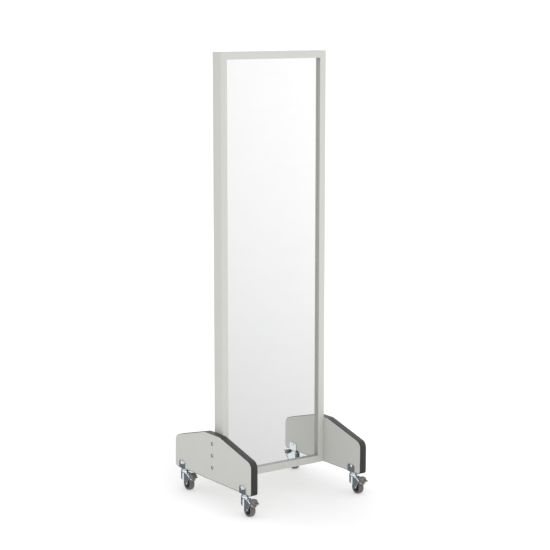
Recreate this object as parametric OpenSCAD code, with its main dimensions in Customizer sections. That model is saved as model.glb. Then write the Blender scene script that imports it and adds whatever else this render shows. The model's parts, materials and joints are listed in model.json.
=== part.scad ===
// Rolling floor mirror: a tall framed mirror between two side panels, each
// standing on two swivel casters with brakes.
// Millimetres. +Z up, front towards -Y, origin on the floor in the middle.

/* [Frame] */
// Overall width of the mirror frame
frame_w = 475; // [420:5:640]
// Overall height of the mirror frame
frame_h = 1600; // [1200:10:1800]
// Depth of the frame, front to back
frame_d = 55; // [52:1:64]
// Width of the frame's front face
face_w = 27; // [24:1:36]
// Depth of the lip in front of the glass
lip_d = 13.8; // [11:0.1:16]
// Thickness of the frame's side wall behind the lip
wall_t = 15; // [14:0.5:17]
// Rounding of the frame's long front edges
edge_r = 1.5; // [0.5:0.5:2.5]

/* [Mirror] */
// Thickness of the mirror glass
glass_t = 4; // [3:0.5:5]
// Thickness of the foam tape behind the glass
tape_t = 1; // [0.5:0.5:1.5]
// Thickness of the backing board
back_t = 3; // [3:0.5:5]
// Thickness of the rear cover
cover_t = 4; // [3:0.5:5]
// How far the rear cover sits inside the frame's back edge
cover_in = 3.2; // [2.5:0.1:5]
// Width of the retaining beads
bead_w = 18; // [15:1:22]

/* [Side panels] */
// Length of each side panel, front to back
foot_l = 519; // [480:1:600]
// Height of each side panel
foot_h = 179; // [170:1:210]
// Height of the panel's upright ends
foot_end_h = 123; // [110:1:135]
// Length of the panel's flat top
foot_top_l = 104; // [90:1:130]
// Thickness of each side panel
foot_t = 28.5; // [26:0.5:32]
// How far the panel's middle lies behind the frame's middle
foot_back = 1.5; // [0:0.5:2]
// Thickness of the edge band
band_t = 1; // [0.8:0.1:1.5]
// Distance between the bolts of a side panel
bolt_pitch = 46.5; // [42:0.5:50]

/* [Casters] */
// Distance of the front swivel axes from the panel's middle
swivel_y = 206; // [190:1:215]
// Distance of the rear swivel axes from the panel's middle
rear_swivel_y = 209; // [190:1:215]
// Wheel radius
wheel_r = 25; // [24:0.5:26]
// Width of the tyre
tyre_w = 20.5; // [17:0.5:20.5]
// How far the axle trails the swivel axis
trail = 22.5; // [22:0.5:23]
// Height of the bracket's cheeks above the panel's lower edge
cheek_h = 29; // [26:0.5:34]
// Width of the bracket, front to back
cheek_w = 43; // [38:1:46]

/* [Hidden] */
$fn = 48;

// Colours
pale = [0.80, 0.80, 0.78];
anthracite = [0.20, 0.20, 0.20];
zinc = [0.72, 0.75, 0.77];
rubber_grey = [0.45, 0.43, 0.42];
hub_grey = [0.28, 0.27, 0.27];
pedal_grey = [0.44, 0.43, 0.41];

// Bracket, races and fork heights, measured down from the panel's lower edge
plate_t = 2.5;
crown_z = -8;
crown_t = 2.5;
crown_r = 19.5;
crown_edge = 4;
axle_z = -57.5;
leg_x = 13.5;
leg_t = 2;
// Inner edge of the flanges along the legs' front
flange_x = 9.5;
// Brake pivot, from the swivel axis
pin_y = -27.5;
pin_z = -22.5;
lever_x = 11.1;
tab_tip = 82;
bolt_z = 22.5;
bolt_r = 3;

hw = frame_w / 2;
z0 = wheel_r - axle_z;
foot_c = frame_d / 2 + foot_back;
// The whole object's middle lies between the pedal tips and the panels' rear ends
y0 = (swivel_y + tab_tip - foot_l / 2) / 2 - foot_c;
foot_x = hw + foot_t / 2;
open_w = frame_w - 2 * wall_t;
open_h = frame_h - 2 * wall_t;
y_tape = lip_d + glass_t;
y_back = y_tape + tape_t;
y_bead = y_back + back_t;
y_cover = frame_d - cover_in - cover_t;
casters = [[-1, -1], [1, -1], [-1, 1], [1, 1]];

// Points of a polygon with rounded corners. Every corner keeps its centre when
// the outline is drawn d further in, so shells stay even.
function unit(v) = v / norm(v);
function corner(p, a, b, r, d, n) =
    let (u = unit(a - p), w = unit(b - p), m = unit(u + w),
         s = norm(cross([u[0], u[1], 0], [m[0], m[1], 0])),
         c = p + m * (r / s),
         t1 = p + u * (r * sqrt(1 - s * s) / s) - c,
         t2 = p + w * (r * sqrt(1 - s * s) / s) - c,
         a1 = atan2(t1[1], t1[0]), a2r = atan2(t2[1], t2[0]),
         a2 = a2r < a1 ? a2r + 360 : a2r)
    [for (i = [0:n]) c + (r - d) * [cos(a1 + (a2 - a1) * i / n), sin(a1 + (a2 - a1) * i / n)]];
function rounded(v, r, d = 0, n = 8) =
    [for (i = [0:len(v) - 1])
        each corner(v[i], v[(i + len(v) - 1) % len(v)], v[(i + 1) % len(v)], r[i], d, n)];
// A line of points moved d to its right-hand side
function beside(v, d) = [for (i = [0:len(v) - 1])
    let (t = unit(v[min(i + 1, len(v) - 1)] - v[max(i - 1, 0)])) v[i] + d * [t[1], -t[0]]];
function back_to_front(v) = [for (i = [len(v) - 1:-1:0]) v[i]];

// A drawing in Y and Z, made w thick along X
module along_x(w) { rotate([90, 0, 90]) linear_extrude(w, center = true) children(); }
module from_x(x1, x2) { translate([x1, 0, 0]) rotate([90, 0, 90]) linear_extrude(x2 - x1) children(); }
module rod(r, x1, x2, f = 32) { translate([x1, 0, 0]) rotate([0, 90, 0]) cylinder(r = r, h = x2 - x1, $fn = f); }
module box(a, b) { translate(a) cube(b - a); }
// A drawing in X and Z, from y1 to y2
module from_y(y1, y2) { translate([0, y2, 0]) rotate([90, 0, 0]) linear_extrude(y2 - y1) children(); }
// Both sides of a caster, from x1 to x2 out from its middle
module both_x(x1, x2) { from_x(x1, x2) children(); from_x(-x2, -x1) children(); }
// The frame's own zero is its lower front edge
module in_frame() { translate([0, y0, z0]) children(); }
module on_side(s) { if (s < 0) children(); else mirror([1, 0, 0]) children(); }
// A caster's own zero is its swivel axis at the panel's lower edge
module at_caster(c) {
    translate([c[0] * foot_x, y0 + foot_c + (c[1] < 0 ? -swivel_y : rear_swivel_y), z0]) children();
}

// ---- frame ----
// Cross-section with the outer edge at x = 0 and the front at y = 0
module profile() {
    difference() {
        polygon(rounded([[0, 0], [face_w, 0], [face_w, frame_d], [0, frame_d]], [edge_r, edge_r, 0.6, edge_r], 0, 5));
        translate([wall_t, lip_d]) square([face_w, frame_d]);
    }
}
module key_shape(g) {
    // One leg along the stile and one along the rail, inside the side walls
    o = wall_t / 2;
    box([-hw + o - 4.5 - g, 38 - g, 5 - g], [-hw + o + 4.5 + g, 43 + g, 66 + g]);
    box([-hw + 5 - g, 38 - g, o - 4.5 - g], [-hw + 66 + g, 43 + g, o + 4.5 + g]);
}
module key_at(sx, top, g) {
    if (top) translate([0, 0, frame_h]) mirror([0, 0, 1]) mirror([sx > 0 ? 1 : 0, 0, 0]) key_shape(g);
    else mirror([sx > 0 ? 1 : 0, 0, 0]) key_shape(g);
}
module stile(s) {
    in_frame() difference() {
        on_side(s) intersection() {
            translate([-hw, 0, 0]) linear_extrude(frame_h) profile();
            translate([0, frame_d + 1, 0]) rotate([90, 0, 0]) linear_extrude(frame_d + 2)
                polygon([[-hw - 1, -1], [-hw + 50, 50], [-hw + 50, frame_h - 50], [-hw - 1, frame_h + 1]]);
        }
        for (top = [false, true]) key_at(s, top, 0.1);
        on_side(s) for (i = [-1:1]) translate([0, foot_c, 95.9 + i * bolt_pitch])
            rod(5.05, -hw - 1, -hw + 12.5);
    }
}
module rail(top) {
    in_frame() difference() {
        translate([0, 0, top ? frame_h : 0]) mirror([0, 0, top ? 1 : 0])
            intersection() {
                rotate([90, 0, 90]) linear_extrude(frame_w, center = true)
                    rotate(90) mirror([0, 1]) profile();
                translate([0, frame_d + 1, 0]) rotate([90, 0, 0]) linear_extrude(frame_d + 2)
                    polygon([[-hw, 0], [hw, 0], [hw - 50, 50], [-hw + 50, 50]]);
            }
        for (s = [-1, 1]) key_at(s, top, 0.1);
    }
}
module left_stile() { color(pale) stile(-1); }
module right_stile() { color(pale) stile(1); }
module top_rail() { color(pale) rail(true); }
module bottom_rail() { color(pale) rail(false); }
module corner_keys() {
    color(zinc) in_frame() for (s = [-1, 1], top = [false, true]) key_at(s, top, 0);
}

// ---- mirror and back ----
module mirror_glass() {
    color([0.9, 0.92, 0.93]) in_frame()
        box([-open_w / 2 + 1, lip_d, wall_t + 1], [open_w / 2 - 1, y_tape, frame_h - wall_t - 1]);
}
module glass_tape() {
    color(anthracite) in_frame() {
        for (s = [-1, 1]) box([s * (open_w / 2 - 8) - 6, y_tape, wall_t + 16], [s * (open_w / 2 - 8) + 6, y_back, frame_h - wall_t - 16]);
        for (z = [wall_t + 2, frame_h - wall_t - 14]) box([-open_w / 2 + 2, y_tape, z], [open_w / 2 - 2, y_back, z + 12]);
    }
}
module backing_board() {
    color([0.55, 0.42, 0.30]) in_frame()
        box([-open_w / 2 + 1, y_back, wall_t + 1], [open_w / 2 - 1, y_bead, frame_h - wall_t - 1]);
}
screw_rows = [for (i = [0:4]) 60 + i * (frame_h - 120) / 4];
screw_cols = [-open_w / 4, open_w / 4];
module cover_screw_holes(r) {
    for (s = [-1, 1], z = screw_rows) translate([s * (open_w / 2 - bead_w / 2), 0, z])
        rotate([-90, 0, 0]) cylinder(r = r, h = frame_d, $fn = 24);
    for (x = screw_cols, z = [wall_t + bead_w / 2, frame_h - wall_t - bead_w / 2]) translate([x, 0, z])
        rotate([-90, 0, 0]) cylinder(r = r, h = frame_d, $fn = 24);
}
module bead_bore() {
    // The screws reach 14 mm into the beads
    intersection() {
        cover_screw_holes(1.8);
        box([-hw, y_cover - 14.5, 0], [hw, frame_d, frame_h]);
    }
}
module side_bead(s) {
    color([0.80, 0.66, 0.46]) in_frame() difference() {
        on_side(s) box([-open_w / 2, y_bead, wall_t], [-open_w / 2 + bead_w, y_cover, frame_h - wall_t]);
        bead_bore();
    }
}
module end_bead(z) {
    color([0.80, 0.66, 0.46]) in_frame() difference() {
        box([-open_w / 2 + bead_w, y_bead, z], [open_w / 2 - bead_w, y_cover, z + bead_w]);
        bead_bore();
    }
}
module left_bead() { side_bead(-1); }
module right_bead() { side_bead(1); }
module top_bead() { end_bead(frame_h - wall_t - bead_w); }
module bottom_bead() { end_bead(wall_t); }
module rear_cover() {
    color(pale) in_frame() difference() {
        box([-open_w / 2 + 0.5, y_cover, wall_t + 0.5], [open_w / 2 - 0.5, y_cover + cover_t, frame_h - wall_t - 0.5]);
        cover_screw_holes(2.1);
    }
}
module cover_screw() {
    // Pan head on the cover, point towards the front
    y1 = y_cover + cover_t;
    rotate([-90, 0, 0]) {
        translate([0, 0, y_cover - 14]) cylinder(r = 1.75, h = 14 + cover_t, $fn = 24);
        difference() {
            translate([0, 0, y1]) rotate_extrude($fn = 32)
                polygon([[0, 0], [3.6, 0], [3.6, 0.7], [3.2, 1.5], [2.4, 2.0], [0, 2.2]]);
            for (a = [0, 90]) rotate(a) translate([-1.9, -0.4, y1 + 1]) cube([3.8, 0.8, 2]);
        }
    }
}
module rear_cover_screws() {
    color(zinc) in_frame() {
        for (s = [-1, 1], z = screw_rows) translate([s * (open_w / 2 - bead_w / 2), 0, z]) cover_screw();
        for (x = screw_cols, z = [wall_t + bead_w / 2, frame_h - wall_t - bead_w / 2]) translate([x, 0, z]) cover_screw();
    }
}

// ---- side panels ----
foot_pts = [[-foot_l / 2, 0], [foot_l / 2, 0], [foot_l / 2, foot_end_h], [foot_top_l / 2, foot_h],
    [-foot_top_l / 2, foot_h], [-foot_l / 2, foot_end_h]];
foot_rs = [12, 12, 28, 60, 60, 28];
module foot_outline(d) { polygon(rounded(foot_pts, foot_rs, d, 12)); }
module at_panel(s) { translate([s * foot_x, y0 + foot_c, z0]) children(); }
module panel_holes(s) {
    for (i = [-1:1]) translate([0, 0, 95.9 + i * bolt_pitch]) {
        rod(3.2, -foot_t, foot_t);
        on_side(s) rod(6, -foot_t, -foot_t / 2 + 4.5, 48);
    }
    for (y = [-swivel_y, rear_swivel_y]) translate([0, y, bolt_z]) rod(bolt_r + 0.2, -foot_t, foot_t);
}
module side_panel(s) {
    color(pale) at_panel(s) difference() {
        along_x(foot_t) foot_outline(band_t);
        panel_holes(s);
    }
}
module edge_band(s) {
    color(anthracite) at_panel(s) along_x(foot_t) difference() {
        foot_outline(0);
        foot_outline(band_t);
    }
}
module left_side_panel() { side_panel(-1); }
module right_side_panel() { side_panel(1); }
module left_edge_band() { edge_band(-1); }
module right_edge_band() { edge_band(1); }
module side_panel_bolts() {
    // Socket cap screws sunk in the panels' outer faces
    color(zinc) for (s = [-1, 1], i = [-1:1]) at_panel(s) translate([0, 0, 95.9 + i * bolt_pitch]) on_side(s) {
        difference() {
            union() {
                rod(5.2, -foot_t / 2 + 0.7, -foot_t / 2 + 4.5, 48);
                rod(3, -foot_t / 2 + 2, foot_t / 2 + 11.5);
            }
            rod(2.9, -foot_t / 2, -foot_t / 2 + 3.4, 6);
        }
    }
}
module threaded_inserts() {
    color([0.78, 0.66, 0.36]) in_frame() for (s = [-1, 1], i = [-1:1])
        on_side(s) translate([0, foot_c, 95.9 + i * bolt_pitch]) difference() {
            rod(5, -hw, -hw + 12);
            rod(3.05, -hw - 1, -hw + 13);
        }
}

// ---- caster parts fixed to the panels ----
module bracket() {
    w = foot_t / 2;
    difference() {
        intersection() {
            rotate([90, 0, 0]) linear_extrude(cheek_w, center = true) difference() {
                polygon(rounded([[-w - plate_t, -plate_t], [w + plate_t, -plate_t], [w + plate_t, cheek_h], [-w - plate_t, cheek_h]],
                    [3.5, 3.5, 0.4, 0.4], 0, 6));
                translate([-w, 0]) square([2 * w, cheek_h + 1]);
            }
            along_x(foot_t * 2) polygon(rounded([[-cheek_w / 2, -plate_t - 1], [cheek_w / 2, -plate_t - 1],
                [cheek_w / 2, cheek_h], [-cheek_w / 2, cheek_h]], [2, 2, 6, 6], 0, 8));
        }
        translate([0, 0, bolt_z]) rod(bolt_r + 0.2, -foot_t, foot_t);
        translate([0, 0, -plate_t - 0.01]) cylinder(r1 = 4.1, r2 = 6.66, h = plate_t + 0.02);
    }
}
module caster_brackets() { color(zinc) for (c = casters) at_caster(c) bracket(); }
// Low round head on the inner cheek, cap nut on the outer one
module bracket_bolts() {
    xi = foot_t / 2 + plate_t;
    color(zinc) for (c = casters) at_caster(c) translate([0, 0, bolt_z]) on_side(c[0]) {
        rod(bolt_r, -xi - 4.5, xi + 0.5);
        translate([xi, 0, 0]) rotate([0, 90, 0]) rotate_extrude()
            polygon(concat([[0, 0], [5.5, 0]], [for (a = [10:10:90]) [5.5 * cos(a), 2.4 * sin(a)]]));
    }
}
module bracket_cap_nuts() {
    xi = foot_t / 2 + plate_t;
    color(zinc) for (c = casters) at_caster(c) translate([0, 0, bolt_z]) on_side(c[0]) translate([-xi, 0, 0])
        rotate([0, -90, 0]) difference() {
            union() {
                cylinder(r = 7, h = 4, $fn = 6);
                rotate_extrude() polygon(concat([[0, 0], [6, 0]],
                    [for (a = [0:10:90]) [6 * cos(a), 3.5 + 5.5 * sin(a)]]));
            }
            translate([0, 0, -1]) cylinder(r = bolt_r + 0.05, h = 5.7);
        }
}
module kingpins() {
    color(zinc) for (c = casters) at_caster(c) {
        translate([0, 0, -plate_t]) cylinder(r1 = 4, r2 = 6.55, h = plate_t);
        translate([0, 0, crown_z - crown_t - 0.3]) cylinder(r = 4, h = -crown_z + crown_t + 0.3 - plate_t + 0.01);
        translate([0, 0, crown_z - crown_t - 2.8]) cylinder(r = 6.5, h = 2.5);
    }
}
ball_ring = 12.5;
ball_z = -5.4;
module groove() { rotate_extrude($fn = 64) translate([ball_ring, ball_z]) circle(r = 1.75, $fn = 32); }
module upper_races() {
    color(zinc) for (c = casters) at_caster(c) difference() {
        translate([0, 0, -4.9]) cylinder(r = 17.5, h = 4.9 - plate_t, $fn = 64);
        translate([0, 0, -6]) cylinder(r = 4.6, h = 6);
        groove();
    }
}

// ---- caster parts that swivel ----
module fork_plan() {
    // Round skirt at the back, stepping in to two flat legs
    difference() {
        union() {
            intersection() { circle(r = crown_r, $fn = 64); translate([-25, -1.5]) square([50, 30]); }
            polygon([[-19.42, -1.4], [19.42, -1.4], [leg_x, -5.5], [-leg_x, -5.5]]);
            translate([-leg_x, -50]) square([2 * leg_x, 45]);
        }
        intersection() { circle(r = crown_r - leg_t, $fn = 64); translate([-25, -0.7]) square([50, 30]); }
        polygon([[-17.49, -0.6], [17.49, -0.6], [leg_x - leg_t, -4.6], [-leg_x + leg_t, -4.6]]);
        translate([-leg_x + leg_t, -51]) square([2 * (leg_x - leg_t), 46.6]);
    }
}
// Front upper edge of a leg, from its nose up to the crown
brow = [[-45.9, -24.6], [-43, -21.9], [-38, -18.4], [-33, -15.6], [-27.5, -13.2], [-22, -11.4], [-17, -10.3], [-12, -9.6]];
module leg_side() {
    polygon(concat([[22, -12.3], [22, -33], [17, -36], [11, -43], [5, -46.5], [-2, -48], [-6, -52], [-6.5, -57], [-9.5, -61.8],
        [-14, -64.9], [-19, -66], [-23, -65.3], [-26.5, -62.5], [-28.2, -58.5], [-28.2, -54.5], [-33.5, -44.5], [-41.5, -33.5],
        [-44.6, -29.5], [-46, -26.8]], brow, [[-4.6, -9.3], [-4.6, -12.3]]));
}
module crown() {
    // Round top whose edge turns down into the skirt
    c = [crown_r - crown_edge, crown_z - crown_edge];
    rotate_extrude($fn = 64) polygon(concat([[0, crown_z]],
        [for (a = [90:-15:0]) c + crown_edge * [cos(a), sin(a)]],
        [[crown_r, crown_z - crown_edge - 1], [c[0] + 1.5, crown_z - crown_edge - 1]],
        [for (a = [0:15:90]) c + 1.5 * [cos(a), sin(a)]], [[0, crown_z - crown_t]]));
}
module fork() {
    color(zinc) difference() {
        union() {
            intersection() {
                translate([0, 0, -70]) linear_extrude(62) fork_plan();
                along_x(60) leg_side();
            }
            both_x(flange_x, leg_x) polygon(concat(brow, back_to_front(beside(brow, leg_t))));
            crown();
            translate([0, 0, crown_z - 0.1]) cylinder(r = 15, h = 2.2, $fn = 64);
        }
        groove();
        translate([0, 0, -20]) cylinder(r = 4.05, h = 20);
        translate([0, -trail, axle_z]) rod(bolt_r + 0.05, -20, 20);
        translate([0, pin_y, pin_z]) rod(2.02, -20, 20);
    }
}
module swivel_balls() {
    color(zinc) for (i = [0:9]) rotate(18 + i * 36) translate([ball_ring, 0, ball_z]) sphere(r = 1.6, $fn = 24);
}
module axle() {
    // Low round head, its nut and the sleeve that the hub turns on
    color(zinc) translate([0, -trail, axle_z]) {
        rod(bolt_r, -leg_x - 0.1, leg_x + 4);
        translate([-leg_x, 0, 0]) rotate([0, -90, 0]) rotate_extrude()
            polygon(concat([[0, 0], [4.6, 0]], [for (a = [10:16:90]) [4.6 * cos(a), 2.2 * sin(a)]]));
        difference() {
            rod(5.4, leg_x, leg_x + 3.4, 6);
            rod(bolt_r + 0.05, leg_x - 1, leg_x + 6);
        }
        difference() {
            rod(4, -11.4, 11.4);
            rod(bolt_r + 0.1, -12, 12);
        }
    }
}
module brake_pin() { color(zinc) translate([0, pin_y, pin_z]) { rod(2, -leg_x - 0.4, leg_x + 0.4); } }

// ---- wheel ----
module spin() { translate([0, -trail, axle_z]) rotate([0, 90, 0]) rotate_extrude($fn = 72) children(); }
module hub() {
    color(hub_grey) spin() polygon([[4.05, -9.1], [7.5, -9.1], [8, -8.6], [8.4, -3], [14.6, -2.4], [15.2, -7.6], [15.8, -8.2],
        [18.2, -8.2], [18.2, 8.2], [15.8, 8.2], [15.2, 7.6], [14.6, 2.4], [8.4, 3], [8, 8.6], [7.5, 9.1], [4.05, 9.1]]);
}
module tyre() {
    w = tyre_w / 2;
    color(rubber_grey) spin() polygon(concat([[18.2, -w + 1], [18.8, -w], [wheel_r - 3, -w]],
        [for (a = [-75:15:0]) [wheel_r - 3 + 3 * cos(a), -w + 3 + 3 * sin(a)]],
        [for (a = [0:15:75]) [wheel_r - 3 + 3 * cos(a), w - 3 + 3 * sin(a)]],
        [[wheel_r - 3, w], [18.8, w], [18.2, w - 1]]));
}

// ---- brake ----
tongue = [[-60, -35.6], [-42, -30.9], [-42, -28.9], [-60, -33.8]];
module brake_lever() {
    // Two cheeks beside the wheel, a bridge and two tongues under the hood
    color(zinc) difference() {
        union() {
            both_x(lever_x - 1.5, lever_x) {
                polygon([[-25, -25.5], [-25, -19.2], [-30, -18.6], [-40, -23.6], [-47.5, -30], [-52, -32.5], [-52, -35],
                    [-46, -34.5], [-38, -30.2], [-30, -26.9]]);
                translate([pin_y, pin_z]) circle(r = 4.2);
            }
            both_x(6.2, lever_x - 0.3) polygon(tongue);
            along_x(2 * lever_x - 0.6) intersection() {
                polygon(tongue);
                translate([-44.2, -40]) square([5, 20]);
            }
        }
        translate([0, pin_y, pin_z]) rod(2.06, -20, 20);
    }
}
module hood_front(w, r) {
    polygon(rounded([[-w, -45], [w, -45], [w, -9.5], [-w, -9.5]], [0.5, 0.5, r, r], 0, 8));
}
module brake_pedal() {
    color(pedal_grey) {
        // Narrow neck of the hood between the legs
        intersection() {
            along_x(18) polygon(rounded([[-53, -31.6], [-42, -28.6], [-39, -27], [-39, -9.5], [-53, -9.5]], [0.3, 0.5, 1, 6, 0.3], 0, 8));
            from_y(-60, -30) hood_front(9, 5.5);
        }
        // Wide front of the hood
        intersection() {
            along_x(22) polygon(rounded([[-60, -33.2], [-49, -30.5], [-49, -9.5], [-60, -9.5]], [3, 0.5, 0.4, 10.5], 0, 8));
            from_y(-62, -30) hood_front(11, 7);
        }
        // Shoe behind the tread, joined through the gap between the tongues
        along_x(12) polygon([[-53, -35.5], [-45, -35], [-45, -29], [-53, -30]]);
        along_x(16) difference() {
            polygon(rounded([[-51.3, -43], [-49.5, -44.3], [-44.5, -40], [-44.5, -32.0], [-53, -34.2]], [0.6, 0.6, 0.3, 0.5, 1], 0, 4));
            translate([-trail, axle_z]) circle(r = wheel_r + 3.6, $fn = 72);
        }
        // Thumb tab for lifting the brake
        translate([0, 0, -21.2]) linear_extrude(2.2)
            polygon(rounded([[-5, -tab_tip], [5, -tab_tip], [5, -57], [-5, -57]], [3, 3, 0.3, 0.3], 0, 6));
    }
}

left_stile();
right_stile();
top_rail();
bottom_rail();
corner_keys();
mirror_glass();
glass_tape();
backing_board();
left_bead();
right_bead();
top_bead();
bottom_bead();
rear_cover();
rear_cover_screws();
left_side_panel();
right_side_panel();
left_edge_band();
right_edge_band();
side_panel_bolts();
threaded_inserts();
caster_brackets();
bracket_bolts();
bracket_cap_nuts();
kingpins();
upper_races();
at_caster(casters[0]) fork();  // fl_fork
at_caster(casters[0]) swivel_balls();  // fl_swivel_balls
at_caster(casters[0]) axle();  // fl_axle
at_caster(casters[0]) brake_pin();  // fl_brake_pin
at_caster(casters[0]) hub();  // fl_hub
at_caster(casters[0]) tyre();  // fl_tyre
at_caster(casters[0]) brake_lever();  // fl_brake_lever
at_caster(casters[0]) brake_pedal();  // fl_brake_pedal
at_caster(casters[1]) fork();  // fr_fork
at_caster(casters[1]) swivel_balls();  // fr_swivel_balls
at_caster(casters[1]) axle();  // fr_axle
at_caster(casters[1]) brake_pin();  // fr_brake_pin
at_caster(casters[1]) hub();  // fr_hub
at_caster(casters[1]) tyre();  // fr_tyre
at_caster(casters[1]) brake_lever();  // fr_brake_lever
at_caster(casters[1]) brake_pedal();  // fr_brake_pedal
at_caster(casters[2]) fork();  // rl_fork
at_caster(casters[2]) swivel_balls();  // rl_swivel_balls
at_caster(casters[2]) axle();  // rl_axle
at_caster(casters[2]) brake_pin();  // rl_brake_pin
at_caster(casters[2]) hub();  // rl_hub
at_caster(casters[2]) tyre();  // rl_tyre
at_caster(casters[2]) brake_lever();  // rl_brake_lever
at_caster(casters[2]) brake_pedal();  // rl_brake_pedal
at_caster(casters[3]) fork();  // rr_fork
at_caster(casters[3]) swivel_balls();  // rr_swivel_balls
at_caster(casters[3]) axle();  // rr_axle
at_caster(casters[3]) brake_pin();  // rr_brake_pin
at_caster(casters[3]) hub();  // rr_hub
at_caster(casters[3]) tyre();  // rr_tyre
at_caster(casters[3]) brake_lever();  // rr_brake_lever
at_caster(casters[3]) brake_pedal();  // rr_brake_pedal
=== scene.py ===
import json
import math

import bmesh
import bpy
from mathutils import Matrix, Vector


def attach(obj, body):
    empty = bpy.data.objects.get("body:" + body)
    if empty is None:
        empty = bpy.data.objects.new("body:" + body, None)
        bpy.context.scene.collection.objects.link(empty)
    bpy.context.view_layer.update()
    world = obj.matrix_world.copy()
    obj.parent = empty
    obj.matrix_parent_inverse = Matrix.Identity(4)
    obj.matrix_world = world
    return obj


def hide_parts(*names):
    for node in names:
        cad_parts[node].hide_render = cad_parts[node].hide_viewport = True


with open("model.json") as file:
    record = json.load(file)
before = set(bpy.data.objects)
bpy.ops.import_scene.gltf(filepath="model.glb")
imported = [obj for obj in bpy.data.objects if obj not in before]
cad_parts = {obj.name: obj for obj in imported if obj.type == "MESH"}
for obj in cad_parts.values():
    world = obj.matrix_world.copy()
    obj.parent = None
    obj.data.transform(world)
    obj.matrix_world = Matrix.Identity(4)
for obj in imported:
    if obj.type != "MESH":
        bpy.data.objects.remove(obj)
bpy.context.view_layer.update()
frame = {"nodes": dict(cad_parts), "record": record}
NODES = frame["nodes"]
MM = 0.001

# ------------------------------------------------------------------ materials


class Graph:
    """A material's node tree with short calls for the nodes used here."""

    def __init__(self, name, **shader):
        self.mat = bpy.data.materials.new(name)
        self.mat.use_nodes = True
        self.nt = self.mat.node_tree
        self.bsdf = self.nt.nodes["Principled BSDF"]
        for key, value in shader.items():
            self.bsdf.inputs[key.replace("_", " ")].default_value = value
        self.coord = self.nt.nodes.new("ShaderNodeTexCoord").outputs["Object"]

    def link(self, a, b):
        self.nt.links.new(a, b)

    def set(self, node, name, value):
        if isinstance(value, bpy.types.NodeSocket):
            self.link(value, node.inputs[name])
        elif value is not None:
            node.inputs[name].default_value = value

    def stretch(self, x, y, z):
        n = self.nt.nodes.new("ShaderNodeMapping")
        self.link(self.coord, n.inputs["Vector"])
        n.inputs["Scale"].default_value = (x, y, z)
        return n.outputs["Vector"]

    def noise(self, scale, detail=3.0, rough=0.55, vector=None, distortion=0.0):
        n = self.nt.nodes.new("ShaderNodeTexNoise")
        self.link(vector or self.coord, n.inputs["Vector"])
        n.inputs["Scale"].default_value = scale
        n.inputs["Detail"].default_value = detail
        n.inputs["Roughness"].default_value = rough
        n.inputs["Distortion"].default_value = distortion
        return n.outputs["Fac"]

    def cells(self, scale, feature="F1", vector=None):
        n = self.nt.nodes.new("ShaderNodeTexVoronoi")
        n.feature = feature
        self.link(vector or self.coord, n.inputs["Vector"])
        n.inputs["Scale"].default_value = scale
        return n.outputs["Distance"]

    def span(self, value, a, b, lo, hi):
        n = self.nt.nodes.new("ShaderNodeMapRange")
        n.clamp = True
        self.link(value, n.inputs["Value"])
        for key, v in (("From Min", a), ("From Max", b), ("To Min", lo), ("To Max", hi)):
            n.inputs[key].default_value = v
        return n.outputs["Result"]

    def ramp(self, value, stops):
        n = self.nt.nodes.new("ShaderNodeValToRGB")
        self.link(value, n.inputs["Fac"])
        e = n.color_ramp.elements
        while len(e) < len(stops):
            e.new(0.5)
        for el, (pos, colour) in zip(e, stops):
            el.position = pos
            el.color = (*colour, 1)
        return n.outputs["Color"]

    def math(self, op, a, b=None):
        n = self.nt.nodes.new("ShaderNodeMath")
        n.operation = op
        for i, v in enumerate((a, b)):
            if isinstance(v, bpy.types.NodeSocket):
                self.link(v, n.inputs[i])
            elif v is not None:
                n.inputs[i].default_value = v
        return n.outputs[0]

    def mix(self, fac, a, b, blend="MIX"):
        n = self.nt.nodes.new("ShaderNodeMix")
        n.data_type = "RGBA"
        n.blend_type = blend
        for name, v in (("Factor", fac), ("A", a), ("B", b)):
            sockets = [s for s in n.inputs if s.name == name and s.enabled]
            if isinstance(v, bpy.types.NodeSocket):
                self.link(v, sockets[0])
            elif isinstance(v, tuple):
                sockets[0].default_value = (*v, 1)
            else:
                sockets[0].default_value = v
        return [s for s in n.outputs if s.enabled][0]

    def bump(self, height, strength, distance, normal=None):
        n = self.nt.nodes.new("ShaderNodeBump")
        n.inputs["Strength"].default_value = strength
        n.inputs["Distance"].default_value = distance
        self.link(height, n.inputs["Height"])
        if normal is not None:
            self.link(normal, n.inputs["Normal"])
        return n.outputs["Normal"]

    def edges(self, lo=0.52, hi=0.62):
        """0 on flat areas and 1 along outer edges."""
        n = self.nt.nodes.new("ShaderNodeNewGeometry")
        return self.span(n.outputs["Pointiness"], lo, hi, 0, 1)

    def out(self, colour=None, roughness=None, normal=None, metallic=None):
        for key, v in (("Base Color", colour), ("Roughness", roughness), ("Normal", normal), ("Metallic", metallic)):
            if v is not None:
                self.link(v, self.bsdf.inputs[key])
        return self.mat


def shade(c, k):
    return tuple(min(1.0, v * k) for v in c)


def painted(name, c, rough=0.42, grain=1.0):
    """Satin paint on board: a faint orange-peel surface and a slight drift of tone."""
    g = Graph(name)
    drift = g.noise(5.0, 2.0)
    speck = g.noise(1400.0, 2.0, 0.6)
    colour = g.ramp(drift, [(0.3, shade(c, 0.985)), (0.7, shade(c, 1.01))])
    colour = g.mix(0.35, colour, g.ramp(speck, [(0.35, shade(c, 0.965)), (0.65, shade(c, 1.02))]))
    rough_map = g.span(g.noise(60.0, 4.0), 0.3, 0.7, rough - 0.05, rough + 0.05)
    peel = g.bump(g.noise(260.0, 2.0, 0.5), 0.10 * grain, 0.0004)
    return g.out(colour, rough_map, g.bump(speck, 0.10 * grain, 0.00008, peel))


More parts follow.
